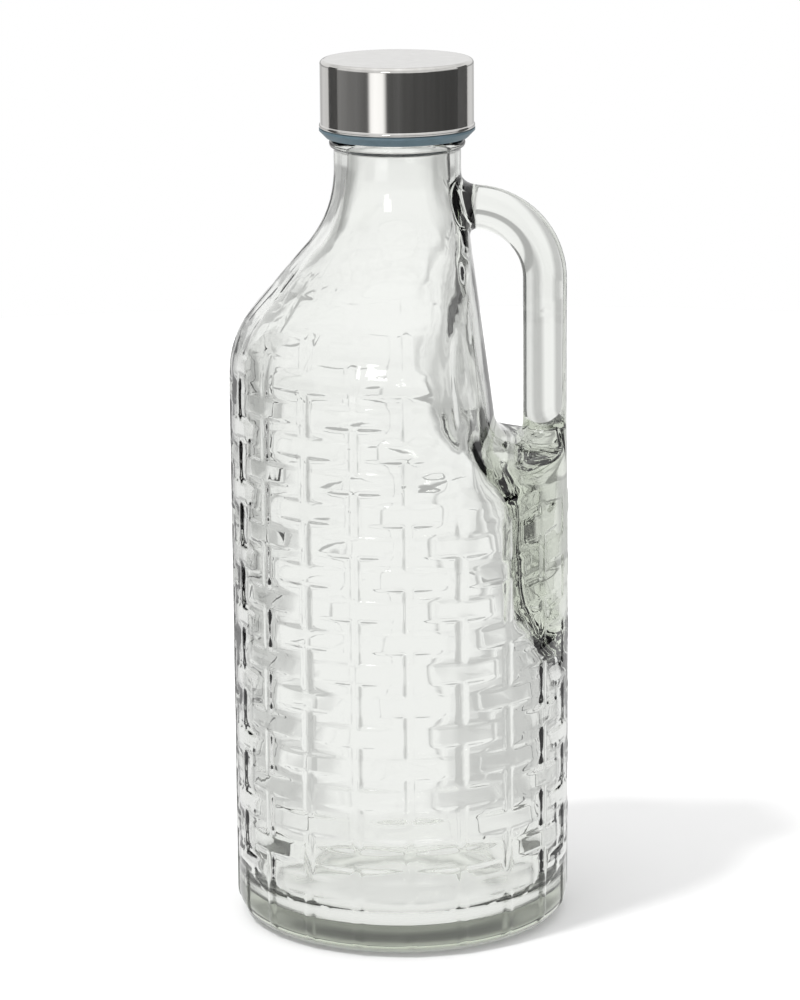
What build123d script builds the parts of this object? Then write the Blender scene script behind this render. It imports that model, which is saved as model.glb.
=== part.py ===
"""Large glass water jug with a moulded side handle and a screw cap.

Millimetres, +Z up. The origin is the centre of the base on the table, and the handle points along +X.
The glass bottle is one moulded piece. The cap is a steel shell pressed over a threaded plastic insert,
with a silicone sealing ring under its top.
"""
import math
import os

from build123d import *

# ---- The glass ----
BODY_RADIUS = 59.6          # outer radius of the straight body
HEEL_RADIUS = 8.5           # rounding between the body and the base
FOOT_INNER_RADIUS = 43.0    # the jug stands on the flat ring between this and the heel
PUNT_RADIUS = 28.0          # flat middle of the raised base
PUNT_RISE = 2.5             # how far the middle of the base is raised
SHOULDER_START = 200.6      # height where the body starts to curve in
SHOULDER_RADIUS = 32.0      # convex rounding of the shoulder
SHOULDER_SLOPE = 40.5       # degrees from vertical
NECK_RADIUS = 22.3
NECK_FLARE_RADIUS = 42.0    # concave rounding from the shoulder to the neck
BEAD_HEIGHT = 280.3         # middle of the glass bead under the cap
BEAD_RADIUS = 23.9
FINISH_RADIUS = 21.9        # neck under the thread
MOUTH_HEIGHT = 306.0        # sealing face of the mouth
MOUTH_ROUNDING = 1.2
WALL = 4.0
FLOOR_HEIGHT = 8.5          # inner floor above the table
FLOOR_CORNER = 14.0         # inner rounding between the floor and the wall
BORE_RADIUS = 17.6          # inside of the neck

# ---- The scoop that makes room for the fingers ----
SCOOP_AXIS_X = -76.0        # the scoop's face curves around an upright axis here
SCOOP_LEDGE = 172.5         # height of the ledge at the handle's foot
SCOOP_LOW_X = 34.9          # x of the scoop's face just above the ledge
SCOOP_HIGH_X = 22.9         # x of the scoop's face where it runs out into the neck
SCOOP_TOP = 266.0
SCOOP_CORNER = 11.0         # rounding between the face and the ledge
SCOOP_SWING = 120.0         # angle that the face is swept through, degrees
SCOOP_REACH = 90.0          # the cut runs out past the body to here
SCOOP_RIM_ROUNDING = 4.0
SCOOP_WALL = 3.0            # the glass is thinner behind the scoop's face
LEDGE_WALL = 6.5            # thickness of the ledge itself
THICK_INSIDE_X = 37.7       # under the ledge the glass is solid out from here
THICK_TOP = 167.0
THICK_BEND = 132.0          # below this height the inside widens again
THICK_BOTTOM = 86.0         # and here it's back to the normal wall

# ---- The handle ----
HANDLE_X = 51.8             # centre line of the grip
HANDLE_DIAMETER = 15.5
HANDLE_BEND_RADIUS = 25.9
HANDLE_BEND_HEIGHT = 231.2
HANDLE_BEND_ANGLE = 85.0    # degrees
HANDLE_FOOT = 164.0         # the grip runs down into the ledge to this height
HANDLE_ROOT_ROUNDING = 5.0
HANDLE_LIMB = 11.0          # straight upper limb, which ends inside the neck's wall

# ---- The thread ----
THREAD_STARTS = 2
THREAD_LEAD = 8.0           # rise of the cap in one turn
GLASS_THREAD_CREST = 23.3   # radius of the crest
GLASS_THREAD_BOTTOM = 289.5
GLASS_THREAD_TURNS = 1.1
CAP_THREAD_CREST = 22.6
CAP_THREAD_BOTTOM = GLASS_THREAD_BOTTOM - THREAD_LEAD / THREAD_STARTS / 2   # midway between glass threads
CAP_THREAD_TURNS = 1.2
THREAD_ROOT_WIDTH = 2.2
THREAD_CREST_WIDTH = 1.0
THREAD_SINK = 0.4           # how deep a thread is rooted in its wall

# ---- The cap ----
CAP_TOP = 309.6             # top of the steel, and the height of the jug
CAP_RADIUS = 26.9
CAP_EDGE_RADIUS = 1.6
STEEL = 0.6
STEEL_BOTTOM = 285.7
HEM_RADIUS = 27.3           # the rolled lower edge of the steel
HEM_HEIGHT = 1.6
LIP_BOTTOM = 282.4          # bottom of the plastic ring that shows under the steel
LIP_RADIUS = 24.9           # inner end of the lip's slanted underside
LIP_EDGE = 0.8              # upright edge of the lip
CAP_BORE_RADIUS = 24.3
INSERT_CEILING = 307.4      # inner face of the plastic under the top
SEAL_INNER_RADIUS = 16.0
SEAL_OUTER_RADIUS = 24.0
SEAL_ROUNDING = 0.4
SEAL_GAP = 0.05             # above the mouth, when the cap is home
FIT_GAP = 0.05              # between pieces of the cap that are pressed together

os.makedirs("parts", exist_ok=True)


def shoulder_line(body_radius, neck_radius, inset):
    """Draw the convex shoulder, its slope and the concave flare, and return the height of the neck."""
    slope = math.radians(SHOULDER_SLOPE)
    convex = SHOULDER_RADIUS - inset
    concave = NECK_FLARE_RADIUS + inset
    convex_end = (body_radius - convex * (1 - math.cos(slope)), SHOULDER_START + convex * math.sin(slope))
    concave_x = neck_radius + concave * (1 - math.cos(slope))
    concave_start = (concave_x, convex_end[1] + (convex_end[0] - concave_x) / math.tan(slope))
    neck_start = (neck_radius, concave_start[1] + concave * math.sin(slope))
    RadiusArc((body_radius, SHOULDER_START), convex_end, -convex)
    Line(convex_end, concave_start)
    RadiusArc(concave_start, neck_start, concave)
    return neck_start[1]


def scoop_corners(grow, ledge):
    """Side view of the scoop, measured out from its upright axis: outside its face, above its ledge.

    grow moves the face into the glass.
    """
    reach = SCOOP_REACH - SCOOP_AXIS_X
    foot = SCOOP_LOW_X - grow - SCOOP_AXIS_X
    head = SCOOP_HIGH_X - grow - SCOOP_AXIS_X
    return (foot, ledge), (reach, ledge), (reach, SCOOP_TOP), (head, SCOOP_TOP)


def scoop_plane():
    """The upright plane through the scoop's axis where its swept cut begins."""
    start = math.radians(-SCOOP_SWING / 2)
    across = (math.cos(start), math.sin(start), 0)
    return Plane(origin=(SCOOP_AXIS_X, 0, 0), x_dir=across, z_dir=(across[1], -across[0], 0))


def thread_ridge(crest, wall, bottom, turns):
    """One start of a right-hand thread: a tapered ridge swept along its helix, rooted in the wall."""
    root = wall - THREAD_SINK if crest > wall else wall + THREAD_SINK
    half_root = THREAD_ROOT_WIDTH / 2
    half_crest = THREAD_CREST_WIDTH / 2
    with BuildPart() as ridge:
        with BuildLine():
            Helix(pitch=THREAD_LEAD, height=THREAD_LEAD * turns, radius=wall, center=(0, 0, bottom))
        with BuildSketch(Plane.XZ):
            with BuildLine():
                Polyline(
                    (root, bottom - half_root),
                    (crest, bottom - half_crest),
                    (crest, bottom + half_crest),
                    (root, bottom + half_root),
                    close=True,
                )
            make_face()
        sweep(is_frenet=True)
    return ridge.part


def on_ledge_rim(edge):
    """Whether an edge is the ledge's outer rim."""
    middle = edge @ 0.5
    on_body = abs(math.hypot(middle.X, middle.Y) - BODY_RADIUS) < 0.01
    return on_body and abs(middle.Z - SCOOP_LEDGE) < 0.01


SCOOP_AXIS = Axis((SCOOP_AXIS_X, 0, 0), (0, 0, 1))

# ---- glass_bottle: the scoop, as a region to cut from the glass ----
with BuildPart() as scoop:
    with BuildSketch(scoop_plane()) as scoop_side:
        Polygon(*scoop_corners(0, SCOOP_LEDGE), align=None)
        fillet(scoop_side.vertices().group_by(Axis.Y)[0].sort_by(Axis.X)[0], SCOOP_CORNER)
    revolve(axis=SCOOP_AXIS, revolution_arc=SCOOP_SWING)

# ---- glass_bottle: the space inside ----
with BuildPart() as cavity:
    with BuildSketch(Plane.XZ):
        with BuildLine():
            inside = BODY_RADIUS - WALL
            floor_end = inside - FLOOR_CORNER
            Line((0, FLOOR_HEIGHT), (floor_end, FLOOR_HEIGHT))
            RadiusArc((floor_end, FLOOR_HEIGHT), (inside, FLOOR_HEIGHT + FLOOR_CORNER), -FLOOR_CORNER)
            Line((inside, FLOOR_HEIGHT + FLOOR_CORNER), (inside, SHOULDER_START))
            bore_start = shoulder_line(inside, BORE_RADIUS, WALL)
            Line((BORE_RADIUS, bore_start), (BORE_RADIUS, MOUTH_HEIGHT))
            Polyline((BORE_RADIUS, MOUTH_HEIGHT), (0, MOUTH_HEIGHT), (0, FLOOR_HEIGHT))
        make_face()
    revolve(axis=Axis.Z)
    with BuildSketch(scoop_plane()):
        Polygon(*scoop_corners(SCOOP_WALL, SCOOP_LEDGE - LEDGE_WALL), align=None)
    revolve(axis=SCOOP_AXIS, revolution_arc=SCOOP_SWING, mode=Mode.SUBTRACT)
    with BuildSketch(Plane.XZ):
        Polygon(
            (SCOOP_REACH, THICK_BOTTOM),
            (inside, THICK_BOTTOM),
            (THICK_INSIDE_X, THICK_BEND),
            (THICK_INSIDE_X, THICK_TOP),
            (SCOOP_REACH, THICK_TOP),
            align=None,
        )
    extrude(amount=SCOOP_REACH, both=True, mode=Mode.SUBTRACT)

# ---- glass_bottle: outside, scoop, handle, inside, thread ----
with BuildPart() as glass_bottle:
    with BuildSketch(Plane.XZ):
        with BuildLine():
            Polyline((0, MOUTH_HEIGHT), (0, PUNT_RISE), (PUNT_RADIUS, PUNT_RISE))
            Spline((PUNT_RADIUS, PUNT_RISE), (FOOT_INNER_RADIUS, 0), tangents=((1, 0), (1, 0)))
            heel_start = (BODY_RADIUS - HEEL_RADIUS, 0)
            heel_end = (BODY_RADIUS, HEEL_RADIUS)
            Line((FOOT_INNER_RADIUS, 0), heel_start)
            RadiusArc(heel_start, heel_end, -HEEL_RADIUS)
            Line(heel_end, (BODY_RADIUS, SHOULDER_START))
            neck_start = shoulder_line(BODY_RADIUS, NECK_RADIUS, 0)
            bead_half = BEAD_RADIUS - NECK_RADIUS
            bead_start = (NECK_RADIUS, BEAD_HEIGHT - bead_half)
            bead_end = (NECK_RADIUS, BEAD_HEIGHT + bead_half)
            Line((NECK_RADIUS, neck_start), bead_start)
            ThreePointArc(bead_start, (BEAD_RADIUS, BEAD_HEIGHT), bead_end)
            rim_start = (FINISH_RADIUS, MOUTH_HEIGHT - MOUTH_ROUNDING)
            rim_end = (FINISH_RADIUS - MOUTH_ROUNDING, MOUTH_HEIGHT)
            Polyline(bead_end, (FINISH_RADIUS, bead_end[1]), rim_start)
            RadiusArc(rim_start, rim_end, -MOUTH_ROUNDING)
            Line(rim_end, (0, MOUTH_HEIGHT))
        make_face()
    revolve(axis=Axis.Z)
    add(scoop.part, mode=Mode.SUBTRACT)
    rim = glass_bottle.edges().filter_by(GeomType.BSPLINE).filter_by_position(Axis.Z, SCOOP_LEDGE, SCOOP_TOP)
    fillet(rim + glass_bottle.edges().filter_by(on_ledge_rim), SCOOP_RIM_ROUNDING)
    with BuildLine(Plane.XZ):
        Line((HANDLE_X, HANDLE_FOOT), (HANDLE_X, HANDLE_BEND_HEIGHT))
        bend_centre = (HANDLE_X - HANDLE_BEND_RADIUS, HANDLE_BEND_HEIGHT)
        bend = CenterArc(bend_centre, HANDLE_BEND_RADIUS, 0, HANDLE_BEND_ANGLE)
        Line(bend @ 1, (bend @ 1) + (bend % 1) * HANDLE_LIMB)
    with BuildSketch(Plane.XY.offset(HANDLE_FOOT)):
        with Locations((HANDLE_X, 0)):
            Circle(HANDLE_DIAMETER / 2)
    sweep()
    roots = glass_bottle.edges(Select.NEW)
    fillet(roots.filter_by_position(Axis.Z, SCOOP_LEDGE - 10, BEAD_HEIGHT), HANDLE_ROOT_ROUNDING)
    add(cavity.part, mode=Mode.SUBTRACT)
    for start in range(THREAD_STARTS):
        ridge = thread_ridge(GLASS_THREAD_CREST, FINISH_RADIUS, GLASS_THREAD_BOTTOM, GLASS_THREAD_TURNS)
        add(ridge.rotate(Axis.Z, 360 * start / THREAD_STARTS))
glass_bottle.part.label = "glass_bottle"
export_step(glass_bottle.part, "parts/glass_bottle.step")

# ---- cap_shell: one drawn steel cup with a rolled lower edge ----
with BuildPart() as cap_shell:
    with BuildSketch(Plane.XZ):
        with BuildLine():
            inner = CAP_RADIUS - STEEL
            ceiling = CAP_TOP - STEEL
            hem_top = STEEL_BOTTOM + HEM_HEIGHT
            inner_edge = CAP_EDGE_RADIUS - STEEL
            Line((0, CAP_TOP), (CAP_RADIUS - CAP_EDGE_RADIUS, CAP_TOP))
            edge = RadiusArc(
                (CAP_RADIUS - CAP_EDGE_RADIUS, CAP_TOP),
                (CAP_RADIUS, CAP_TOP - CAP_EDGE_RADIUS),
                CAP_EDGE_RADIUS,
            )
            Line(edge @ 1, (CAP_RADIUS, hem_top))
            hem = ThreePointArc(
                (CAP_RADIUS, hem_top),
                (HEM_RADIUS, STEEL_BOTTOM + HEM_HEIGHT / 2),
                (CAP_RADIUS, STEEL_BOTTOM),
            )
            Polyline(hem @ 1, (inner, STEEL_BOTTOM), (inner, ceiling - inner_edge))
            RadiusArc((inner, ceiling - inner_edge), (inner - inner_edge, ceiling), -inner_edge)
            Polyline((inner - inner_edge, ceiling), (0, ceiling), (0, CAP_TOP))
        make_face()
    revolve(axis=Axis.Z)
cap_shell.part.label = "cap_shell"
export_step(cap_shell.part, "parts/cap_shell.step")

# ---- cap_insert: the threaded plastic cup inside the steel, with a lip that shows under it ----
with BuildPart() as cap_insert:
    with BuildSketch(Plane.XZ):
        with BuildLine():
            skirt = CAP_RADIUS - STEEL - FIT_GAP
            top = CAP_TOP - STEEL - FIT_GAP
            lip_top = STEEL_BOTTOM - FIT_GAP
            Polyline(
                (0, top),
                (skirt - CAP_EDGE_RADIUS, top),
                (skirt, top - CAP_EDGE_RADIUS),
                (skirt, lip_top),
                (HEM_RADIUS, lip_top),
                (HEM_RADIUS, lip_top - LIP_EDGE),
                (LIP_RADIUS, LIP_BOTTOM),
                (CAP_BORE_RADIUS, LIP_BOTTOM),
                (CAP_BORE_RADIUS, INSERT_CEILING),
                (0, INSERT_CEILING),
                close=True,
            )
        make_face()
    revolve(axis=Axis.Z)
    for start in range(THREAD_STARTS):
        ridge = thread_ridge(CAP_THREAD_CREST, CAP_BORE_RADIUS, CAP_THREAD_BOTTOM, CAP_THREAD_TURNS)
        add(ridge.rotate(Axis.Z, 360 * start / THREAD_STARTS))
cap_insert.part.label = "cap_insert"
export_step(cap_insert.part, "parts/cap_insert.step")

# ---- sealing_ring: the flat silicone ring between the mouth and the insert ----
with BuildPart() as sealing_ring:
    with BuildSketch(Plane.XY.offset(MOUTH_HEIGHT + SEAL_GAP)):
        Circle(SEAL_OUTER_RADIUS)
        Circle(SEAL_INNER_RADIUS, mode=Mode.SUBTRACT)
    extrude(amount=INSERT_CEILING - MOUTH_HEIGHT - 2 * SEAL_GAP)
    fillet(sealing_ring.edges().group_by(Axis.Z)[0], SEAL_ROUNDING)
sealing_ring.part.label = "sealing_ring"
export_step(sealing_ring.part, "parts/sealing_ring.step")
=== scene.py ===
import math

import bpy
import numpy as np
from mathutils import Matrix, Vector


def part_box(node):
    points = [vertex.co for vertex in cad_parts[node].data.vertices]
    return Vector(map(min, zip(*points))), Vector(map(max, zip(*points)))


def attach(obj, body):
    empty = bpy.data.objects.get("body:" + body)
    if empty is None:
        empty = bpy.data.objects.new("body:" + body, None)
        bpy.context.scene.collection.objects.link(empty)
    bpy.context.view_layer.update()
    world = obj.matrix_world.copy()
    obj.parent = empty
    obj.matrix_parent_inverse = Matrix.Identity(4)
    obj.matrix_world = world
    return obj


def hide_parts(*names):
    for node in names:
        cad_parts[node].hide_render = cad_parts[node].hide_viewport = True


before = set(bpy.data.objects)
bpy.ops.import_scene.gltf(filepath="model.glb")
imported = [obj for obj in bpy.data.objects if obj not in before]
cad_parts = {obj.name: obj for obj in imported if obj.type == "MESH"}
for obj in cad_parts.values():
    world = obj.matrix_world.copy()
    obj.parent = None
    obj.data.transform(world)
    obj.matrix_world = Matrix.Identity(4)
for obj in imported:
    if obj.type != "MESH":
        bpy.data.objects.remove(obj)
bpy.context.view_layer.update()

MM = 0.001
FAR = 1e3

# ---- Shape of the glass, in millimetres, the same as the CAD model's but for the ledge's slight saddle ----
JUG_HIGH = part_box("glass_bottle")[1]
BODY_R = JUG_HIGH.x / MM
MOUTH_Z = JUG_HIGH.z / MM
HEEL_R = 8.5
FOOT_INNER_R = 43.0
PUNT_R = 28.0
PUNT_RISE = 2.5
SHOULDER_Z = 200.6
SHOULDER_R = 32.0
SHOULDER_SLOPE = math.radians(40.5)
NECK_R = 22.3
FLARE_R = 42.0
BEAD_Z = 280.3
BEAD_R = 23.9
FINISH_R = 21.9
LIP_ROUND = 1.2
WALL = 4.0
FLOOR_Z = 8.5
FLOOR_CORNER = 14.0
BORE_R = 17.6
HOLLOW_R = BODY_R - WALL

SCOOP_AXIS_X = -76.0
LEDGE_Z = 172.5
SCOOP_LOW_X = 34.9
SCOOP_HIGH_X = 22.9
SCOOP_TOP_Z = 266.0
SCOOP_CORNER = 11.0
SADDLE_R = 400.0
# The ledge's rims lie about this share of the body's radius from the axis
RIM_SHARE = 0.9

GRIP_X = 51.8
GRIP_R = 7.75
BEND_R = 25.9
BEND_Z = 231.2
BEND_ANGLE = math.radians(85.0)
GRIP_FOOT_Z = 183.0

# The heights between which the scoop and the thick glass behind it change the profile
CUT_LOW_Z = 80.0
CUT_HIGH_Z = 271.0

THREAD_STARTS = 2
THREAD_LEAD = 8.0
THREAD_HEIGHT = 1.4
THREAD_BOTTOM = 289.5
THREAD_TURNS = 1.1

# ---- The basket weave ----
STAKES = 20
STAKE_HALF = 1.9
STAKE_PROUD = 0.46
ROW_PITCH = 11.3
ROW_ZERO = 80.9
STRAND_HALF = 4.2
STRAND_PROUD = 0.14
WEAVE_SWING = 0.40
WEAVE_BOTTOM = 19.0
WEAVE_TOP = 250.0
STAKE_STEP = 2 * math.pi / STAKES

# ---- The inside behind the scoop and under its ledge, in the plane of the handle ----
HOLLOW_FACE_Z = [84, 90, 100, 110, 120, 130, 145, 158, 163, 166, 168, 170, 173, 180, 200, 230, 262]
HOLLOW_FACE_X = [60, 57, 51, 44.5, 39.8, 38.2, 37.8, 37.8, 36.8, 34, 31.4, 30, 29.4, 29.4, 27.4, 23.6, 19.5]


def smoothstep(low, high, value):
    t = np.clip((value - low) / (high - low), 0, 1)
    return t * t * (3 - 2 * t)


def arc(cx, cz, radius, start, end, step=0.2):
    """Points of an arc in the r, z plane; angles in radians from +r."""
    count = max(4, int(abs(end - start) * radius / step))
    angle = np.linspace(start, end, count)
    return np.column_stack([cx + radius * np.cos(angle), cz + radius * np.sin(angle)])


def shoulder(body_r, neck_r, inset):
    """The shoulder from the body's straight part to the neck's, as in the CAD model."""
    convex = SHOULDER_R - inset
    concave = FLARE_R + inset
    first = arc(body_r - convex, SHOULDER_Z, convex, 0, SHOULDER_SLOPE)
    flare_r = neck_r + concave * (1 - math.cos(SHOULDER_SLOPE))
    flare_z = first[-1, 1] + (first[-1, 0] - flare_r) / math.tan(SHOULDER_SLOPE)
    centre_z = flare_z + concave * math.sin(SHOULDER_SLOPE)
    second = arc(neck_r + concave, centre_z, concave, math.pi + SHOULDER_SLOPE, math.pi)
    return np.vstack([first, second])


def lengths(line):
    """Distance of each point of a line from its start, along the line."""
    return np.concatenate([[0], np.cumsum(np.hypot(*np.diff(line, axis=0).T))])


def swept_distance(theta, face_x):
    """Distance from the jug's axis to a face that curves round the scoop's axis, face_x out at the handle."""
    side = SCOOP_AXIS_X * np.cos(theta)
    square = side**2 - SCOOP_AXIS_X**2 + (face_x - SCOOP_AXIS_X) ** 2
    return side + np.sqrt(np.maximum(square, 0))


def ledge_height(theta):
    """Height of the ledge, which falls away to both sides."""
    aside = RIM_SHARE * BODY_R * np.sin(theta)
    return LEDGE_Z - aside**2 / (2 * SADDLE_R)


def scoop_face(theta, z):
    """Distance from the jug's axis to the scoop's face, which rounds out into the ledge at its foot."""
    slope = (SCOOP_HIGH_X - SCOOP_LOW_X) / (SCOOP_TOP_Z - LEDGE_Z)
    ledge = ledge_height(theta)
    below = np.clip(SCOOP_CORNER - (z - ledge), 0, SCOOP_CORNER)
    face_x = SCOOP_LOW_X + slope * (z - LEDGE_Z) + SCOOP_CORNER - np.sqrt(SCOOP_CORNER**2 - below**2)
    return np.where(z > ledge, swept_distance(theta, face_x), FAR)


def hollow_face(theta, z):
    """The same for the inside of the glass, which is thick under the ledge and thins out below it."""
    face_x = np.interp(z, HOLLOW_FACE_Z, HOLLOW_FACE_X)
    flat = face_x / max(math.cos(theta), 0.05)
    swept = smoothstep(158, 185, z)
    distance = (1 - swept) * flat + swept * swept_distance(theta, face_x)
    return np.where((z > HOLLOW_FACE_Z[0]) & (z < HOLLOW_FACE_Z[-1]), distance, FAR)


def cut_profile(points, theta, plain, face):
    """A profile with the scoop taken out, keeping the point count: the points spread along the new line."""
    z = np.arange(CUT_LOW_Z, CUT_HIGH_Z, 0.2)
    radius = plain(z)
    cut = np.minimum(radius, face(theta, z))
    before = lengths(np.column_stack([radius, z]))
    after = lengths(np.column_stack([cut, z]))
    point_r, point_z = points.T
    inside = (point_z > CUT_LOW_Z) & (point_z < CUT_HIGH_Z) & (np.abs(point_r - plain(point_z)) < 1)
    at = np.interp(point_z[inside], z, before) / before[-1] * after[-1]
    out = points.copy()
    out[inside] = np.column_stack([np.interp(at, after, cut), np.interp(at, after, z)])
    return out


# ---- Rows of the glass, from the middle of the base, over the mouth and down to the inner floor ----
def outer_line():
    """The outside of the glass as a line in the r, z plane, up to the bead."""
    ease = np.linspace(0, 1, 40)
    punt = np.column_stack([
        PUNT_R + (FOOT_INNER_R - PUNT_R) * ease,
        PUNT_RISE * (1 - smoothstep(0, 1, ease)),
    ])
    heel = arc(BODY_R - HEEL_R, HEEL_R, HEEL_R, -math.pi / 2, 0)
    return np.vstack([[[0, PUNT_RISE]], punt, heel, shoulder(BODY_R, NECK_R, 0)])


def finish_line():
    """The bead, the neck inside the cap, and the lip, down to the top of the bore."""
    bead_half = BEAD_R - NECK_R
    bead = arc(NECK_R, BEAD_Z, bead_half, -math.pi / 2, math.pi / 2)
    bead = np.vstack([[[NECK_R, bead[0, 1] - 0.6]], bead])
    outer_lip = arc(FINISH_R - LIP_ROUND, MOUTH_Z - LIP_ROUND, LIP_ROUND, 0, math.pi / 2)
    inner_lip = arc(BORE_R + LIP_ROUND, MOUTH_Z - LIP_ROUND, LIP_ROUND, math.pi / 2, math.pi)
    return np.vstack([bead, [[FINISH_R, BEAD_Z + bead_half + 0.4]], outer_lip, inner_lip])


def inner_line():
    """The inside of the glass, from the bore down to the middle of the floor."""
    corner = arc(HOLLOW_R - FLOOR_CORNER, FLOOR_Z + FLOOR_CORNER, FLOOR_CORNER, 0, -math.pi / 2)
    return np.vstack([shoulder(HOLLOW_R, BORE_R, WALL)[::-1], corner, [[0, FLOOR_Z]]])


def weave_rows(start, end):
    """Places along the outside, closer together at the edges of each strand of the weave."""
    offsets = np.array([0, 2.2, 3.2, 3.75, 4.35, 5.65])
    offsets = np.concatenate([-offsets[-2:0:-1], offsets])
    first = math.floor((start - ROW_ZERO) / ROW_PITCH) - 1
    last = math.ceil((end - ROW_ZERO) / ROW_PITCH) + 1
    rows = np.sort(np.concatenate([ROW_ZERO + k * ROW_PITCH + offsets for k in range(first, last)]))
    return rows[(rows > start) & (rows < end)]


def take(line, places):
    """Points of a line at the given distances along it."""
    length = lengths(line)
    return np.column_stack([np.interp(places, length, line[:, 0]), np.interp(places, length, line[:, 1])])


def evenly(line, spacing):
    """Points of a line about this far apart, both ends included."""
    length = lengths(line)[-1]
    return take(line, np.linspace(0, length, max(2, round(length / spacing) + 1)))


OUTER = outer_line()
OUTER_LENGTH = lengths(OUTER)
BODY_PART = OUTER[:, 1] >= HEEL_R - 0.01
HEEL_LENGTH = OUTER_LENGTH[np.argmax(BODY_PART)] - HEEL_R
INNER_WALL = shoulder(HOLLOW_R, BORE_R, WALL)


def weave_height(z):
    """Distance along the outside: the height on the straight body, and on along the shoulder above."""
    return np.interp(z, OUTER[BODY_PART, 1], OUTER_LENGTH[BODY_PART] - HEEL_LENGTH)


def outer_radius(z):
    return np.interp(z, OUTER[BODY_PART, 1], OUTER[BODY_PART, 0])


def inner_radius(z):
    return np.interp(z, INNER_WALL[:, 1], INNER_WALL[:, 0])


def weave(theta, z):
    """How far the basket weave stands proud: upright stakes, and strands that pass over and under them.

    It fades out over the heel below and over the shoulder above.
    """
    w = weave_height(z)
    narrowing = 0.55 + 0.45 * outer_radius(z) / BODY_R
    row = np.round((w - ROW_ZERO) / ROW_PITCH)
    swing = np.cos(math.pi * (theta / STAKE_STEP - row))
    over = smoothstep(-0.75, 0.75, swing)
    across = np.abs(w - ROW_ZERO - row * ROW_PITCH) / (STRAND_HALF * (0.90 + 0.10 * over))
    band = (1 - smoothstep(0.76, 1.02, across)) * (1 - 0.10 * across**2)
    strand = band * (STRAND_PROUD + WEAVE_SWING * over) * smoothstep(WEAVE_BOTTOM - 3, WEAVE_BOTTOM + 1, w)
    from_stake = np.abs((theta + STAKE_STEP / 2) % STAKE_STEP - STAKE_STEP / 2) * outer_radius(z)
    stake = STAKE_PROUD * (1 - smoothstep(0.55, 1.15, from_stake / (STAKE_HALF * narrowing)))
    proud = 0.5 * (strand + stake + np.sqrt((strand - stake) ** 2 + 0.06**2)) - 0.03
    low = smoothstep(1.2, 6.0, z)
    high = 1 - 0.78 * smoothstep(186, 216, w) - 0.22 * smoothstep(WEAVE_TOP - 12, WEAVE_TOP, w)
    return proud * low * high


def weave_mask(theta, z):
    """1 where the weave is, 0 in the scoop and on the plain glass round its edge."""
    clear = scoop_face(theta, np.maximum(z, LEDGE_Z + SCOOP_CORNER)) - outer_radius(z)
    beside = smoothstep(2, 11, clear)
    under = 1 - smoothstep(LEDGE_Z - 24, LEDGE_Z - 10, z)
    return beside + (1 - beside) * under


def thread(theta, z):
    """How far the two starts of the screw thread stand proud of the neck."""
    proud = np.zeros_like(theta)
    for start in range(THREAD_STARTS):
        turn = (theta / (2 * math.pi) - start / THREAD_STARTS) % 1.0
        for whole in (0, 1):
            turns = turn + whole
            centre = THREAD_BOTTOM + THREAD_LEAD * turns
            ends = smoothstep(0, 0.03, turns) * (1 - smoothstep(THREAD_TURNS - 0.03, THREAD_TURNS, turns))
            ridge = 1 - smoothstep(0.5, 1.15, np.abs(z - centre))
            proud = np.maximum(proud, THREAD_HEIGHT * ridge * ends)
    return proud


def ripple(grid, size, seed):
    """Gentle unevenness, between -1 and 1, from a few crossing waves."""
    rng = np.random.default_rng(seed)
    x, y, z = grid[..., 0], grid[..., 1], grid[..., 2]
    total = np.zeros_like(x)
    for _ in range(9):
        direction = rng.normal(size=3)
        direction *= rng.uniform(0.6, 1.5) * 2 * math.pi / size / np.linalg.norm(direction)
        total += np.sin(direction[0] * x + direction[1] * y + direction[2] * z + rng.uniform(0, 2 * math.pi))
    return total / 4.5


def revolve(points, theta, plain, face):
    """The rows of a profile turned round the axis, with the scoop taken out: (rows, columns, xyz)."""
    grid = np.empty((len(points), len(theta), 3))
    for column, angle in enumerate(theta):
        cut = cut_profile(points, angle, plain, face)
        grid[:, column, 0] = cut[:, 0] * math.cos(angle)
        grid[:, column, 1] = cut[:, 0] * math.sin(angle)
        grid[:, column, 2] = cut[:, 1]
    return grid


def polar(grid):
    theta = np.arctan2(grid[..., 1], grid[..., 0])
    return theta, np.hypot(grid[..., 0], grid[..., 1]), grid[..., 2]


def set_radius(grid, theta, radius):
    grid[..., 0] = radius * np.cos(theta)
    grid[..., 1] = radius * np.sin(theta)


def from_handle(theta):
    """Angle away from the handle, to either side."""
    return np.abs((theta + math.pi) % (2 * math.pi) - math.pi)


def soften(grid, weight, rounds):
    """Evens out a grid where the weight says so; its first and last rows stay."""
    weight[0] = weight[-1] = 0
    for _ in range(rounds):
        mean = (np.roll(grid, 1, 0) + np.roll(grid, -1, 0) + np.roll(grid, 1, 1) + np.roll(grid, -1, 1)) / 4
        grid = grid + 0.6 * weight[..., None] * (mean - grid)
    return grid


def rim_weight(grid, width):
    """1 on the edges that the scoop leaves, fading to 0 this far from them."""
    theta, radius, z = polar(grid)
    edge = outer_radius(z)
    ledge = ledge_height(theta)
    clear = scoop_face(theta, np.maximum(z, LEDGE_Z + SCOOP_CORNER)) - edge
    beside = np.where(z > ledge - 3, np.abs(clear) * 0.8, FAR)
    rim = np.where(clear < 0, np.hypot(radius - edge, z - ledge), FAR)
    return np.exp(-((np.minimum(beside, rim) / width) ** 2))


def normals(grid):
    """Unit normals of a grid of rows going up and columns going round, pointing away from the axis."""
    along_row = np.roll(grid, -1, 1) - np.roll(grid, 1, 1)
    up = np.empty_like(grid)
    up[1:-1] = grid[2:] - grid[:-2]
    up[0] = grid[1] - grid[0]
    up[-1] = grid[-1] - grid[-2]
    normal = np.cross(along_row, up)
    return normal / np.maximum(np.linalg.norm(normal, axis=2, keepdims=True), 1e-9)


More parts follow.
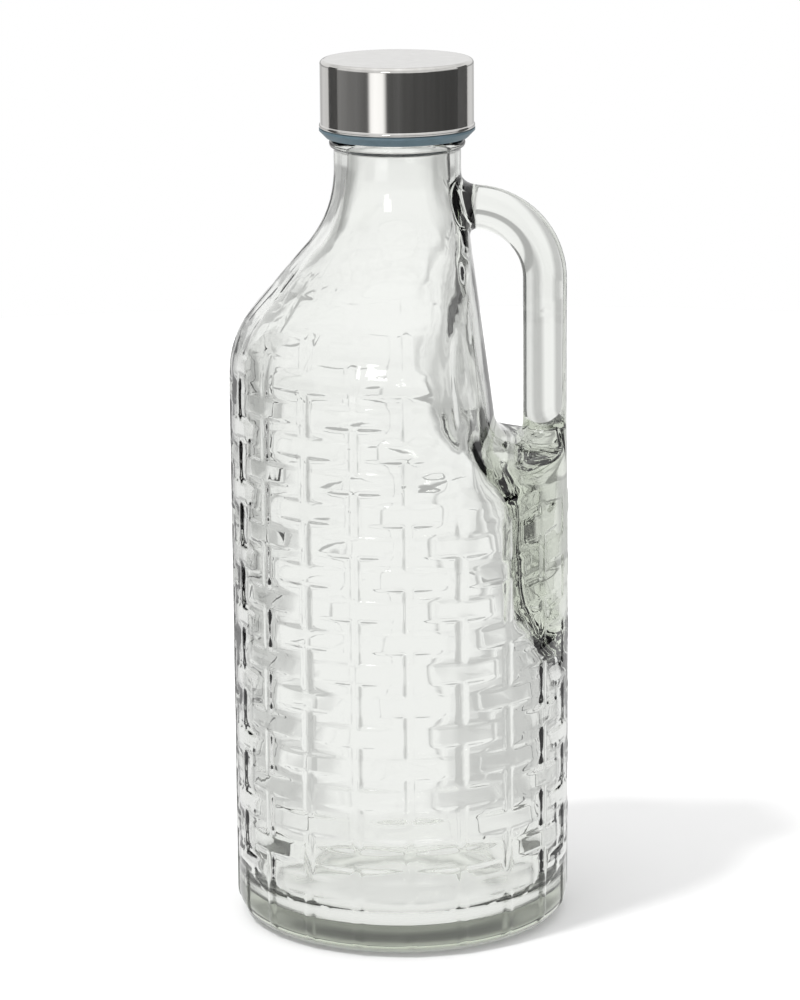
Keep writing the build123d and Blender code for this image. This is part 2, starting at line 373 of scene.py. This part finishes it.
# ---- The glass as rings of points ----
def column_angles():
    """Azimuths of the columns, closer together at the edges of each upright stake."""
    half = np.array([0, 0.9, 1.5, 2.1, 2.9, 4.6, 6.9, 9.36]) / 9.36 * STAKE_STEP / 2
    period = np.concatenate([half, 2 * half[-1] - half[-2:0:-1]])
    return np.concatenate([period + stake * STAKE_STEP for stake in range(STAKES)])


FINE = column_angles()
COARSE = FINE[::2]
JOIN_Z = 246.0
JOIN_LENGTH = np.interp(JOIN_Z, OUTER[BODY_PART, 1], OUTER_LENGTH[BODY_PART])
RIM_WIDTH, RIM_ROUNDS = 3.5, 7
SOFT_RIM_WIDTH, SOFT_RIM_ROUNDS = 9, 50


def base_rings():
    """From the middle of the base out to the heel."""
    line = OUTER[: np.argmax(OUTER[:, 0] >= BODY_R - HEEL_R - 0.01) + 1]
    return revolve(evenly(line, 3.2)[1:-1], COARSE, outer_radius, scoop_face)


def body_rings():
    """The heel, the body with its weave and the scoop, up to the join on the shoulder."""
    start = HEEL_LENGTH - HEEL_R * (math.pi / 2 - 1)
    heel = np.linspace(start, HEEL_LENGTH + WEAVE_BOTTOM - 5, 15)
    rows = weave_rows(WEAVE_BOTTOM - 4.5, JOIN_LENGTH - HEEL_LENGTH) + HEEL_LENGTH
    points = take(OUTER, np.concatenate([heel, rows]))
    grid = revolve(points, FINE, outer_radius, scoop_face)
    grid = soften(grid, rim_weight(grid, RIM_WIDTH), RIM_ROUNDS)
    # The ledge's rims are rounder, away from the handle's foot.
    theta, _, z = polar(grid)
    sides = smoothstep(math.radians(14), math.radians(42), from_handle(theta)) * (1 - smoothstep(176, 194, z))
    grid = soften(grid, rim_weight(grid, SOFT_RIM_WIDTH) * sides, SOFT_RIM_ROUNDS)
    theta, _, z = polar(grid)
    proud = weave(theta, np.broadcast_to(points[:, 1][:, None], z.shape)) * weave_mask(theta, z)
    bump = 0.10 * ripple(grid, 24, 3) * smoothstep(4, 20, z)
    return grid + (proud + bump)[..., None] * normals(grid)


def neck_rings():
    """From the join on the shoulder to the lip of the mouth."""
    neck = take(OUTER, np.linspace(JOIN_LENGTH, OUTER_LENGTH[-1], 22))[1:]
    above = [[NECK_R, z] for z in (273, 275, 277)]
    finish = evenly(finish_line(), 0.7)
    points = np.vstack([neck, above, finish])
    grid = revolve(points, COARSE, outer_radius, scoop_face)
    theta, radius, z = polar(grid)
    set_radius(grid, theta, radius + np.where(z < MOUTH_Z - LIP_ROUND, thread(theta % (2 * math.pi), z), 0))
    return grid


def inner_rings():
    """The inside, from the bore down to the floor, with the thicker glass under the handle."""
    points = evenly(np.vstack([[[BORE_R, MOUTH_Z - LIP_ROUND - 2]], inner_line()]), 4.0)[:-1]
    grid = revolve(points, COARSE, inner_radius, hollow_face)
    theta, _, z = polar(grid)
    reach = (1 - smoothstep(math.radians(75), math.radians(95), from_handle(theta))) * smoothstep(70, 85, z)
    grid = soften(grid, reach * (1 - smoothstep(245, 262, z)), 3)
    theta, radius, z = polar(grid)
    unevenness = 0.20 * ripple(grid, 30, 7) + 0.07 * ripple(grid, 12, 11)
    calm = smoothstep(16, 34, z) * (1 - smoothstep(262, 285, z))
    set_radius(grid, theta, radius + unevenness * calm)
    return grid


def closed_surface(stages, first, last):
    """Vertices and faces of rings laid one after another, with a point at each end."""
    points = [[first]]
    faces = []
    previous = None
    offset = 1
    for grid in stages:
        for ring in grid:
            count = len(ring)
            here = offset + np.arange(count)
            if previous is None:
                faces += [(0, int(here[(k + 1) % count]), int(here[k])) for k in range(count)]
            else:
                faces += between(previous, here)
            points.append(ring)
            previous = here
            offset += count
    tip = offset
    points.append([last])
    count = len(previous)
    faces += [(int(previous[k]), int(previous[(k + 1) % count]), tip) for k in range(count)]
    return np.vstack(points), faces


def between(low, high):
    """Faces between two rings; one may have twice as many points as the other."""
    faces = []
    if len(low) == len(high):
        for k in range(len(low)):
            n = (k + 1) % len(low)
            faces.append((int(low[k]), int(low[n]), int(high[n]), int(high[k])))
        return faces
    widening = len(high) > len(low)
    few, many = (low, high) if widening else (high, low)
    for k in range(len(few)):
        n = (k + 1) % len(few)
        a, b, c = many[2 * k], many[2 * k + 1], many[(2 * k + 2) % len(many)]
        pair = [(few[k], b, a), (few[k], few[n], c, b)]
        for face in pair:
            face = tuple(int(v) for v in face)
            faces.append(face if widening else face[::-1])
    return faces


# ---- The handle ----
GRIP_STRAIGHT = BEND_Z - GRIP_FOOT_Z
GRIP_LENGTH = GRIP_STRAIGHT + BEND_R * BEND_ANGLE
# The windows in the surface where the handle's roots begin: the lower and upper edge, each by its r and z
FOOT_WINDOW = (BODY_R, LEDGE_Z - 6.5), (GRIP_X - GRIP_R - 3.5, LEDGE_Z + 1.5)
NECK_WINDOW = (25.5, 246.6), (NECK_R, 267.5)
# Columns from the middle of the foot's window to its side, and rows in each root
FOOT_HALF = 10
ROOT_ROWS = 14


def grip_point(distance):
    """Point and direction on the handle's centre line, and the direction of its outer side."""
    if distance < GRIP_STRAIGHT:
        return np.array([GRIP_X, 0, GRIP_FOOT_Z + distance]), np.array([0, 0, 1.0]), np.array([1.0, 0, 0])
    angle = (distance - GRIP_STRAIGHT) / BEND_R
    forward = np.array([-math.sin(angle), 0, math.cos(angle)])
    outward = np.array([math.cos(angle), 0, math.sin(angle)])
    return np.array([GRIP_X - BEND_R, 0, BEND_Z]) + BEND_R * outward, forward, outward


def window_loop(low, high, half, flip):
    """Row and column steps round a window of the grid, from the middle of one edge and round past +Y."""
    rows = list(range(low, high))
    loop = [(low, c) for c in range(0, half)]
    loop += [(r, half) for r in rows]
    loop += [(high, c) for c in range(half, -half, -1)]
    loop += [(r, -half) for r in range(high, low, -1)]
    loop += [(low, c) for c in range(-half, 0)]
    if flip:
        loop = [(low + high - r, c) for r, c in loop]
    return loop


def loop_angles(low, high, half):
    """Angles round the handle that the steps of a window's loop go to."""
    across, tall = 2 * half, high - low
    edges = [(0, 45, half), (45, 135, tall), (135, 225, across), (225, 315, tall), (315, 360, half)]
    return np.radians(np.concatenate([np.linspace(a, b, n, endpoint=False) for a, b, n in edges]))


def bridge(edge, inward, ring, direction):
    """Rows of points that leave a surface's edge along it and arrive at a ring along its axis."""
    t = np.linspace(0, 1, ROOT_ROWS + 1)[:, None, None]
    reach = 1.1 * np.linalg.norm(ring - edge, axis=1)[None, :, None]
    leaving = (2 * t**3 - 3 * t**2 + 1) * edge + (t**3 - 2 * t**2 + t) * inward * reach
    arriving = (-2 * t**3 + 3 * t**2) * ring + (t**3 - t**2) * direction * reach
    return leaving + arriving


def ring_at(distance, angles):
    """A round section of the handle."""
    centre, direction, outward = grip_point(distance)
    side = np.cos(angles)[:, None] * outward + np.sin(angles)[:, None] * np.array([0, 1.0, 0])
    return centre + GRIP_R * side, direction


def loop_edge(grid, loop):
    """Positions of a window's loop in a grid of rows and columns, and the way the surface runs into it."""
    columns = grid.shape[1]
    low, high = min(r for r, _ in loop), max(r for r, _ in loop)
    half = max(c for _, c in loop)
    here = np.array([grid[r, c % columns] for r, c in loop])
    out = []
    for r, c in loop:
        next_r = r - 1 if r == low else r + 1 if r == high else r
        next_c = c + 1 if c == half else c - 1 if c == -half else c
        out.append(grid[next_r, next_c % columns])
    inward = here - np.array(out)
    return here, inward / np.linalg.norm(inward, axis=1)[:, None]


def smooth_points(points, faces, chosen, rounds):
    """Evens out the chosen points of a mesh, keeping the rest where they are."""
    edges = set()
    for face in faces:
        for a, b in zip(face, face[1:] + face[:1]):
            if chosen[a] or chosen[b]:
                edges.add((min(a, b), max(a, b)))
    pairs = np.array(sorted(edges))
    weight = np.asarray(chosen, float)
    for _ in range(rounds):
        total = np.zeros_like(points)
        count = np.zeros(len(points))
        np.add.at(total, pairs[:, 0], points[pairs[:, 1]])
        np.add.at(total, pairs[:, 1], points[pairs[:, 0]])
        np.add.at(count, pairs[:, 0], 1)
        np.add.at(count, pairs[:, 1], 1)
        mean = total / np.maximum(count, 1)[:, None]
        points = np.where(weight[:, None] > 0, points + 0.5 * weight[:, None] * (mean - points), points)
    return points


def nearest_row(grid, r, z):
    return int(np.argmin(np.hypot(grid[:, 0, 0] - r, grid[:, 0, 2] - z)))


def glass_mesh():
    """The whole bottle as one closed surface, in millimetres: points and faces."""
    base, body, neck, inner = base_rings(), body_rings(), neck_rings(), inner_rings()
    points, faces = closed_surface([base, body, neck, inner], [0, 0, PUNT_RISE], [0, 0, FLOOR_Z])

    body_start = 1 + base.shape[0] * base.shape[1]
    neck_start = body_start + body.shape[0] * body.shape[1]

    # The window in the neck gets as many steps round it as the one in the ledge.
    foot_low, foot_high = (nearest_row(body, *edge) for edge in FOOT_WINDOW)
    neck_low, neck_high = (nearest_row(neck, *edge) for edge in NECK_WINDOW)
    steps = 2 * FOOT_HALF + (foot_high - foot_low)
    neck_half = (steps - (neck_high - neck_low)) // 2
    neck_high = neck_low + steps - 2 * neck_half

    foot_loop = window_loop(foot_low, foot_high, FOOT_HALF, False)
    neck_loop = window_loop(neck_low, neck_high, neck_half, True)
    foot_angles = loop_angles(foot_low, foot_high, FOOT_HALF)
    neck_angles = loop_angles(neck_low, neck_high, neck_half)

    def index(start, grid, loop):
        return [start + r * grid.shape[1] + c % grid.shape[1] for r, c in loop]

    def inside(start, grid, low, high, half):
        return {start + r * grid.shape[1] + c % grid.shape[1]
                for r in range(low + 1, high) for c in range(-half + 1, half)}

    gone = inside(body_start, body, foot_low, foot_high, FOOT_HALF)
    gone |= inside(neck_start, neck, neck_low, neck_high, neck_half)
    faces = [f for f in faces if not gone.intersection(f)]

    # The rings of the handle, which turn gradually from the foot's spacing to the neck's.
    stations = np.concatenate([
        np.linspace(0, GRIP_STRAIGHT, 24),
        np.linspace(GRIP_STRAIGHT, GRIP_LENGTH, 20)[1:],
    ])
    rings = []
    for station in stations:
        share = station / GRIP_LENGTH
        rings.append(ring_at(station, (1 - share) * foot_angles + share * neck_angles)[0])

    # The roots, which run from the window's edges into the first and last ring.
    foot_edge, foot_inward = loop_edge(body, foot_loop)
    neck_edge, neck_inward = loop_edge(neck, neck_loop)
    _, foot_up = ring_at(0, foot_angles)
    _, neck_in = ring_at(GRIP_LENGTH, neck_angles)
    foot_root = bridge(foot_edge, foot_inward, rings[0], foot_up)[1:-1]
    neck_root = bridge(neck_edge, neck_inward, rings[-1], -neck_in)[1:-1][::-1]

    offset = len(points)
    loops = [index(body_start, body, foot_loop)]
    rows = list(foot_root) + rings + list(neck_root)
    for row in rows:
        loops.append(list(range(offset, offset + len(row))))
        offset += len(row)
    loops.append(index(neck_start, neck, neck_loop))
    points = np.vstack([points] + rows)
    count = len(loops[0])
    for low, high in zip(loops, loops[1:]):
        for k in range(count):
            n = (k + 1) % count
            faces.append((low[k], low[n], high[n], high[k]))

    # Both roots are evened out, with a narrow border of the surface around them.
    chosen = np.zeros(len(points))
    for loop in loops[:ROOT_ROWS] + loops[-ROOT_ROWS:]:
        chosen[loop] = 1
    for start, grid, low, high, half in (
        (body_start, body, foot_low, foot_high, FOOT_HALF),
        (neck_start, neck, neck_low, neck_high, neck_half),
    ):
        for r in range(low - 3, high + 4):
            for c in range(-half - 3, half + 4):
                beyond = max(low - r, r - high, abs(c) - half, 0)
                at = start + r * grid.shape[1] + c % grid.shape[1]
                chosen[at] = max(chosen[at], 1 - beyond / 4)
    points = smooth_points(points, faces, chosen, 6)

    # Points that only the windows used are left out.
    used = np.zeros(len(points), bool)
    for face in faces:
        used[list(face)] = True
    renumber = np.cumsum(used) - 1
    faces = [tuple(int(renumber[v]) for v in face) for face in faces]
    return points[used], faces


def make_piece(name, points, faces, material, body, replaced):
    """A smooth mesh piece from points in millimetres, riding a body and standing for CAD nodes."""
    mesh = bpy.data.meshes.new(name)
    mesh.from_pydata((np.asarray(points) * MM).tolist(), [], faces)
    mesh.update()
    mesh.validate()
    mesh.polygons.foreach_set("use_smooth", [True] * len(mesh.polygons))
    mesh.materials.append(material)
    piece = bpy.data.objects.new(name, mesh)
    bpy.context.scene.collection.objects.link(piece)
    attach(piece, body)
    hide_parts(*replaced)
    return piece


# ---- Materials ----
STIPPLE_FULL_Z = 3.0
STIPPLE_END_Z = 4.5
STIPPLE_ROUGHNESS = 0.28


def new_material(name):
    material = bpy.data.materials.new(name)
    material.use_nodes = True
    nodes = material.node_tree.nodes
    return material, nodes, material.node_tree.links, nodes["Principled BSDF"]


def stretched_noise(nodes, links, scale, detail, stretch):
    """A noise texture in object coordinates, stretched along each axis."""
    where = nodes.new("ShaderNodeTexCoord")
    mapping = nodes.new("ShaderNodeMapping")
    mapping.inputs["Scale"].default_value = stretch
    noise = nodes.new("ShaderNodeTexNoise")
    noise.inputs["Scale"].default_value = scale
    noise.inputs["Detail"].default_value = detail
    links.new(where.outputs["Object"], mapping.inputs["Vector"])
    links.new(mapping.outputs["Vector"], noise.inputs["Vector"])
    return noise


def bumpy(nodes, links, shader, noise, strength, distance):
    bump = nodes.new("ShaderNodeBump")
    bump.inputs["Strength"].default_value = strength
    bump.inputs["Distance"].default_value = distance
    links.new(noise.outputs["Fac"], bump.inputs["Height"])
    links.new(bump.outputs["Normal"], shader.inputs["Normal"])


def toned(nodes, links, shader, noise, dark, light):
    """Varies the shader's colour by a noise, between two colours."""
    ramp = nodes.new("ShaderNodeValToRGB")
    ramp.color_ramp.elements[0].position = 0.3
    ramp.color_ramp.elements[0].color = (*dark, 1)
    ramp.color_ramp.elements[1].position = 0.7
    ramp.color_ramp.elements[1].color = (*light, 1)
    links.new(noise.outputs["Fac"], ramp.inputs["Fac"])
    links.new(ramp.outputs["Color"], shader.inputs["Base Color"])


def math_node(nodes, links, kind, *values):
    """A math node fed by numbers and sockets."""
    node = nodes.new("ShaderNodeMath")
    node.operation = kind
    for socket, value in zip(node.inputs, values):
        if isinstance(value, (int, float)):
            socket.default_value = value
        else:
            links.new(value, socket)
    return node.outputs[0]


def split(nodes, links, vector):
    parts = nodes.new("ShaderNodeSeparateXYZ")
    links.new(vector, parts.inputs["Vector"])
    return parts.outputs


def mixed(nodes, links, factor, first, second):
    """A colour between two, each a socket or a fixed colour."""
    mix = nodes.new("ShaderNodeMix")
    mix.data_type = "RGBA"
    links.new(factor, mix.inputs["Factor"])
    for name, colour in (("A", first), ("B", second)):
        if isinstance(colour, tuple):
            mix.inputs[name].default_value = colour
        else:
            links.new(colour, mix.inputs[name])
    return mix.outputs["Result"]


def grey_ramp(nodes, links, source, lowest, highest, stops):
    """A brightness from stops in degrees; source is 0 at the lowest angle and 1 at the highest."""
    ramp = nodes.new("ShaderNodeValToRGB")
    elements = ramp.color_ramp.elements
    places = [((degrees - lowest) / (highest - lowest), (value, value, value, 1)) for degrees, value in stops]
    elements[0].position, elements[0].color = places[0]
    elements[1].position, elements[1].color = places[-1]
    for position, colour in places[1:-1]:
        elements.new(position).color = colour
    links.new(source, ramp.inputs["Fac"])
    return ramp.outputs["Color"]


def bearing_ramp(nodes, links, vector, stops):
    """A brightness by bearing round the jug, from stops in degrees with 0 in front and right positive."""
    parts = split(nodes, links, vector)
    to_front = math_node(nodes, links, "MULTIPLY", parts["Y"], -1)
    bearing = math_node(nodes, links, "ARCTAN2", parts["X"], to_front)
    around = math_node(nodes, links, "MULTIPLY_ADD", bearing, 1 / (2 * math.pi), 0.5)
    return grey_ramp(nodes, links, around, -180, 180, stops)


def glass_material():
    """Clear glass with a green tint in its thickness, and a stippled underside."""
    material, nodes, links, shader = new_material("pressed_glass")
    shader.inputs["Base Color"].default_value = (0.97, 0.975, 0.965, 1)
    shader.inputs["Transmission Weight"].default_value = 1.0
    shader.inputs["IOR"].default_value = 1.5
    where = nodes.new("ShaderNodeTexCoord")
    stipple = nodes.new("ShaderNodeMapRange")
    stipple.inputs["From Min"].default_value = STIPPLE_FULL_Z * MM
    stipple.inputs["From Max"].default_value = STIPPLE_END_Z * MM
    stipple.inputs["To Min"].default_value = STIPPLE_ROUGHNESS
    stipple.inputs["To Max"].default_value = 0.0
    links.new(split(nodes, links, where.outputs["Object"])["Z"], stipple.inputs["Value"])
    links.new(stipple.outputs["Result"], shader.inputs["Roughness"])
    noise = stretched_noise(nodes, links, 60, 2, (1, 1, 1))
    bumpy(nodes, links, shader, noise, 0.25, 0.0004)
    tint = nodes.new("ShaderNodeVolumeAbsorption")
    tint.inputs["Color"].default_value = (0.56, 0.62, 0.47, 1)
    tint.inputs["Density"].default_value = 10.0
    links.new(tint.outputs["Volume"], nodes["Material Output"].inputs["Volume"])
    return material


def steel_material():
    material, nodes, links, shader = new_material("brushed_steel")
    shader.inputs["Metallic"].default_value = 1.0
    lines = stretched_noise(nodes, links, 260, 3, (1, 1, 0.02))
    toned(nodes, links, shader, lines, (0.57, 0.56, 0.54), (0.65, 0.64, 0.62))
    gloss = nodes.new("ShaderNodeMapRange")
    gloss.inputs["To Min"].default_value = 0.07
    gloss.inputs["To Max"].default_value = 0.14
    links.new(lines.outputs["Fac"], gloss.inputs["Value"])
    links.new(gloss.outputs["Result"], shader.inputs["Roughness"])
    bumpy(nodes, links, shader, lines, 0.03, 0.00005)
    return material


def grained_material(name, roughness, scale, detail, dark, light):
    """A satin solid with a very fine grain."""
    material, nodes, links, shader = new_material(name)
    shader.inputs["Roughness"].default_value = roughness
    grain = stretched_noise(nodes, links, scale, detail, (1, 1, 1))
    toned(nodes, links, shader, grain, dark, light)
    bumpy(nodes, links, shader, grain, 0.1, 0.00005)
    return material


def dress(node, material):
    """Gives a CAD piece its finish."""
    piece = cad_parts[node]
    piece.data.materials.clear()
    piece.data.materials.append(material)


glass_points, glass_faces = glass_mesh()
make_piece(
    "glass_body", glass_points, glass_faces, glass_material(), "bottle", ["glass_bottle"],
)
blue_plastic = grained_material(
    "slate_blue_plastic", 0.42, 300, 3, (0.095, 0.150, 0.180), (0.110, 0.170, 0.205),
)
silicone = grained_material("clear_silicone", 0.5, 200, 2, (0.62, 0.63, 0.62), (0.70, 0.71, 0.70))
dress("cap_shell", steel_material())
dress("cap_insert", blue_plastic)
dress("sealing_ring", silicone)


# ---- Stage ----
# Painted glow and painted shade on a disc seen only through the glass: how bright it is by bearing from the
# front in degrees, with right positive; the darker bearings are painted shade
PAINTED_GLOW_AROUND = [
    (-180, 0.97), (-173, 0.97), (-165, 0.58), (-153, 0.58), (-143, 0.86), (0, 0.83),
    (143, 0.86), (153, 0.58), (165, 0.58), (173, 0.97), (180, 0.97),
]
# The even painted glow near the jug, which stands in for light coming through the glass onto the floor under
# it, and the radii between which it gives way to the other
PAINTED_GLOW = 0.93
PAINTED_GLOW_R = (0.07, 0.16)
STAGE_R = 1.15
STAGE_SIDES = 96
FLOOR_LEVEL = -0.0002
GLOW_DISC_LEVEL = -0.0001
CARD_R = 0.43
CARD_HEIGHT = 0.45
CARD_STEPS = 8
CARD_SWEEPS = [(147, 170), (8, 35)]


def stage_mesh(name, points, faces, material):
    mesh = bpy.data.meshes.new(name)
    mesh.from_pydata(points, [], faces)
    mesh.update()
    mesh.materials.append(material)
    thing = bpy.data.objects.new(name, mesh)
    bpy.context.scene.collection.objects.link(thing)
    return thing


def disc(name, level, material):
    turn = np.linspace(0, 2 * math.pi, STAGE_SIDES, endpoint=False)
    points = [(STAGE_R * math.cos(a), STAGE_R * math.sin(a), level) for a in turn]
    return stage_mesh(name, points, [tuple(range(STAGE_SIDES))], material)


def seen_in_glass_only(thing):
    thing.visible_camera = False
    thing.visible_diffuse = False
    thing.visible_shadow = False


def matt_material(name, roughness, scale, dark, light):
    material, nodes, links, shader = new_material(name)
    shader.inputs["Roughness"].default_value = roughness
    shader.inputs["Specular IOR Level"].default_value = 0.0
    grain = stretched_noise(nodes, links, scale, 2, (1, 1, 1))
    toned(nodes, links, shader, grain, (dark, dark, dark), (light, light, light))
    return material


def painted_glow_material():
    """A painted glow seen only in the glass: even near the jug, standing in for light through the glass onto
    the floor, and further out a painted brightness and shade by bearing.
    """
    material, nodes, links, shader = new_material("painted_glow_and_shade")
    shader.inputs["Base Color"].default_value = (0, 0, 0, 1)
    shader.inputs["Roughness"].default_value = 1.0
    shader.inputs["Specular IOR Level"].default_value = 0.0
    where = nodes.new("ShaderNodeTexCoord")
    distance = nodes.new("ShaderNodeVectorMath")
    distance.operation = "LENGTH"
    links.new(where.outputs["Object"], distance.inputs[0])
    outwards = nodes.new("ShaderNodeMapRange")
    outwards.inputs["From Min"].default_value = PAINTED_GLOW_R[0]
    outwards.inputs["From Max"].default_value = PAINTED_GLOW_R[1]
    links.new(distance.outputs["Value"], outwards.inputs["Value"])
    band = bearing_ramp(nodes, links, where.outputs["Object"], PAINTED_GLOW_AROUND)
    mix = mixed(nodes, links, outwards.outputs["Result"], (PAINTED_GLOW, PAINTED_GLOW, PAINTED_GLOW, 1), band)
    # The painted light and shade go in as emission, so the disc glows though it is no lamp.
    links.new(mix, shader.inputs["Emission Color"])
    shader.inputs["Emission Strength"].default_value = 1.0
    return material


disc("floor", FLOOR_LEVEL, matt_material("pale_floor", 0.9, 3, 0.885, 0.9))
# A disc that glows though it is no lamp: painted light and shade on the floor under the jug, seen only
# through the glass and in its reflections.
seen_in_glass_only(disc("painted_glow_disc", GLOW_DISC_LEVEL, painted_glow_material()))
card_finish = matt_material("black_card", 1.0, 20, 0.09, 0.11)
for number, (first, last) in enumerate(CARD_SWEEPS):
    sweep = np.radians(np.linspace(first, last, CARD_STEPS + 1))
    corners = [(CARD_R * math.cos(a), CARD_R * math.sin(a), z) for z in (0.0, CARD_HEIGHT) for a in sweep]
    sheets = [(k, k + 1, k + CARD_STEPS + 2, k + CARD_STEPS + 1) for k in range(CARD_STEPS)]
    seen_in_glass_only(stage_mesh(f"card_{number}", corners, sheets, card_finish))


# ---- Light from the studio around ----
# How bright the band round the jug is, by bearing from the front in degrees, with right positive
AROUND = [
    (-180, 0.98), (-173, 0.98), (-164, 0.6), (-156, 0.6), (-146, 0.85), (-128, 0.85),
    (-116, 0.34), (-70, 0.20), (-47, 0.16), (-42, 1.6), (-23, 1.6), (-17, 0.12), (20, 0.09),
    (110, 0.05), (130, 0.85), (146, 0.85), (156, 0.6), (164, 0.6), (173, 0.98), (180, 0.98),
]
# By elevation: where that band is, and how bright the studio is above and below it
BAND_HEIGHT = [(-90, 0), (-24, 0), (-18, 1), (-6, 1), (-4, 0), (90, 0)]
ABOVE_AND_BELOW = [
    (-90, 0.9), (-9, 0.9), (-5, 0.45), (2, 0.45), (5, 0.95), (25, 1.0), (32, 0.8), (50, 1.1), (90, 1.45),
]


def studio_world():
    """White behind, dark in front, with a bright strip to the front left; the camera sees plain white."""
    world = bpy.data.worlds.new("studio")
    bpy.context.scene.world = world
    world.use_nodes = True
    nodes, links = world.node_tree.nodes, world.node_tree.links
    nodes.clear()
    direction = nodes.new("ShaderNodeTexCoord").outputs["Generated"]
    elevation = math_node(nodes, links, "ARCSINE", split(nodes, links, direction)["Z"])
    height = math_node(nodes, links, "MULTIPLY_ADD", elevation, 1 / math.pi, 0.5)
    band = bearing_ramp(nodes, links, direction, AROUND)
    level = grey_ramp(nodes, links, height, -90, 90, BAND_HEIGHT)
    rest = grey_ramp(nodes, links, height, -90, 90, ABOVE_AND_BELOW)

    studio = nodes.new("ShaderNodeBackground")
    links.new(mixed(nodes, links, level, rest, band), studio.inputs["Color"])
    plain = nodes.new("ShaderNodeBackground")
    plain.inputs["Color"].default_value = (1, 1, 1, 1)
    path = nodes.new("ShaderNodeLightPath")
    choice = nodes.new("ShaderNodeMixShader")
    links.new(path.outputs["Is Camera Ray"], choice.inputs["Fac"])
    links.new(studio.outputs[0], choice.inputs[1])
    links.new(plain.outputs[0], choice.inputs[2])
    output = nodes.new("ShaderNodeOutputWorld")
    links.new(choice.outputs[0], output.inputs["Surface"])


def add_light(name, kind, bearing, elevation, strength):
    """A light and its lamp, shining at the jug from a bearing and an elevation, and the way to it."""
    b, e = math.radians(bearing), math.radians(elevation)
    away = Vector((math.sin(b) * math.cos(e), -math.cos(b) * math.cos(e), math.sin(e)))
    lamp = bpy.data.lights.new(name, kind)
    lamp.energy = strength
    light = bpy.data.objects.new(name, lamp)
    bpy.context.scene.collection.objects.link(light)
    light.rotation_euler = away.to_track_quat("Z", "Y").to_euler()
    return light, lamp, away


studio_world()

# The sun only throws the shadow and lights the floor; the highlight is only seen reflected.
key_light, key_lamp, _ = add_light("key_light", "SUN", -54, 61, 1.3)
key_lamp.angle = math.radians(7)
key_light.visible_glossy = False
key_light.visible_transmission = False

HIGHLIGHT_AIM = Vector((0, 0, 0.15))
HIGHLIGHT_DISTANCE = 1.3
HIGHLIGHT_SIZE = 0.24
highlight, highlight_lamp, to_highlight = add_light("highlight", "AREA", -19, 22, 1.0)
highlight.location = HIGHLIGHT_AIM + to_highlight * HIGHLIGHT_DISTANCE
highlight_lamp.size = HIGHLIGHT_SIZE
highlight.visible_diffuse = False

# ---- Camera ----
CAMERA_BEARING = math.radians(-2.6)
CAMERA_DISTANCE = 1.417
CAMERA_HEIGHT = 0.4947
CAMERA_DOWN = math.radians(13.61)
CAMERA_ROLL = math.radians(-0.45)
CAMERA_LENS = 147.1

camera_data = bpy.data.cameras.new("camera")
camera_data.lens = CAMERA_LENS
camera_data.sensor_width = 36.0
camera_data.clip_start = 0.05
camera_data.clip_end = 20.0
camera = bpy.data.objects.new("camera", camera_data)
bpy.context.scene.collection.objects.link(camera)
camera.location = (
    CAMERA_DISTANCE * math.sin(CAMERA_BEARING),
    -CAMERA_DISTANCE * math.cos(CAMERA_BEARING),
    CAMERA_HEIGHT,
)
camera.rotation_mode = "XYZ"
camera.rotation_euler = (math.pi / 2 - CAMERA_DOWN, 0, CAMERA_BEARING)
camera.rotation_euler.rotate_axis("Z", CAMERA_ROLL)
bpy.context.scene.camera = camera
bpy.context.scene.view_settings.view_transform = "Standard"
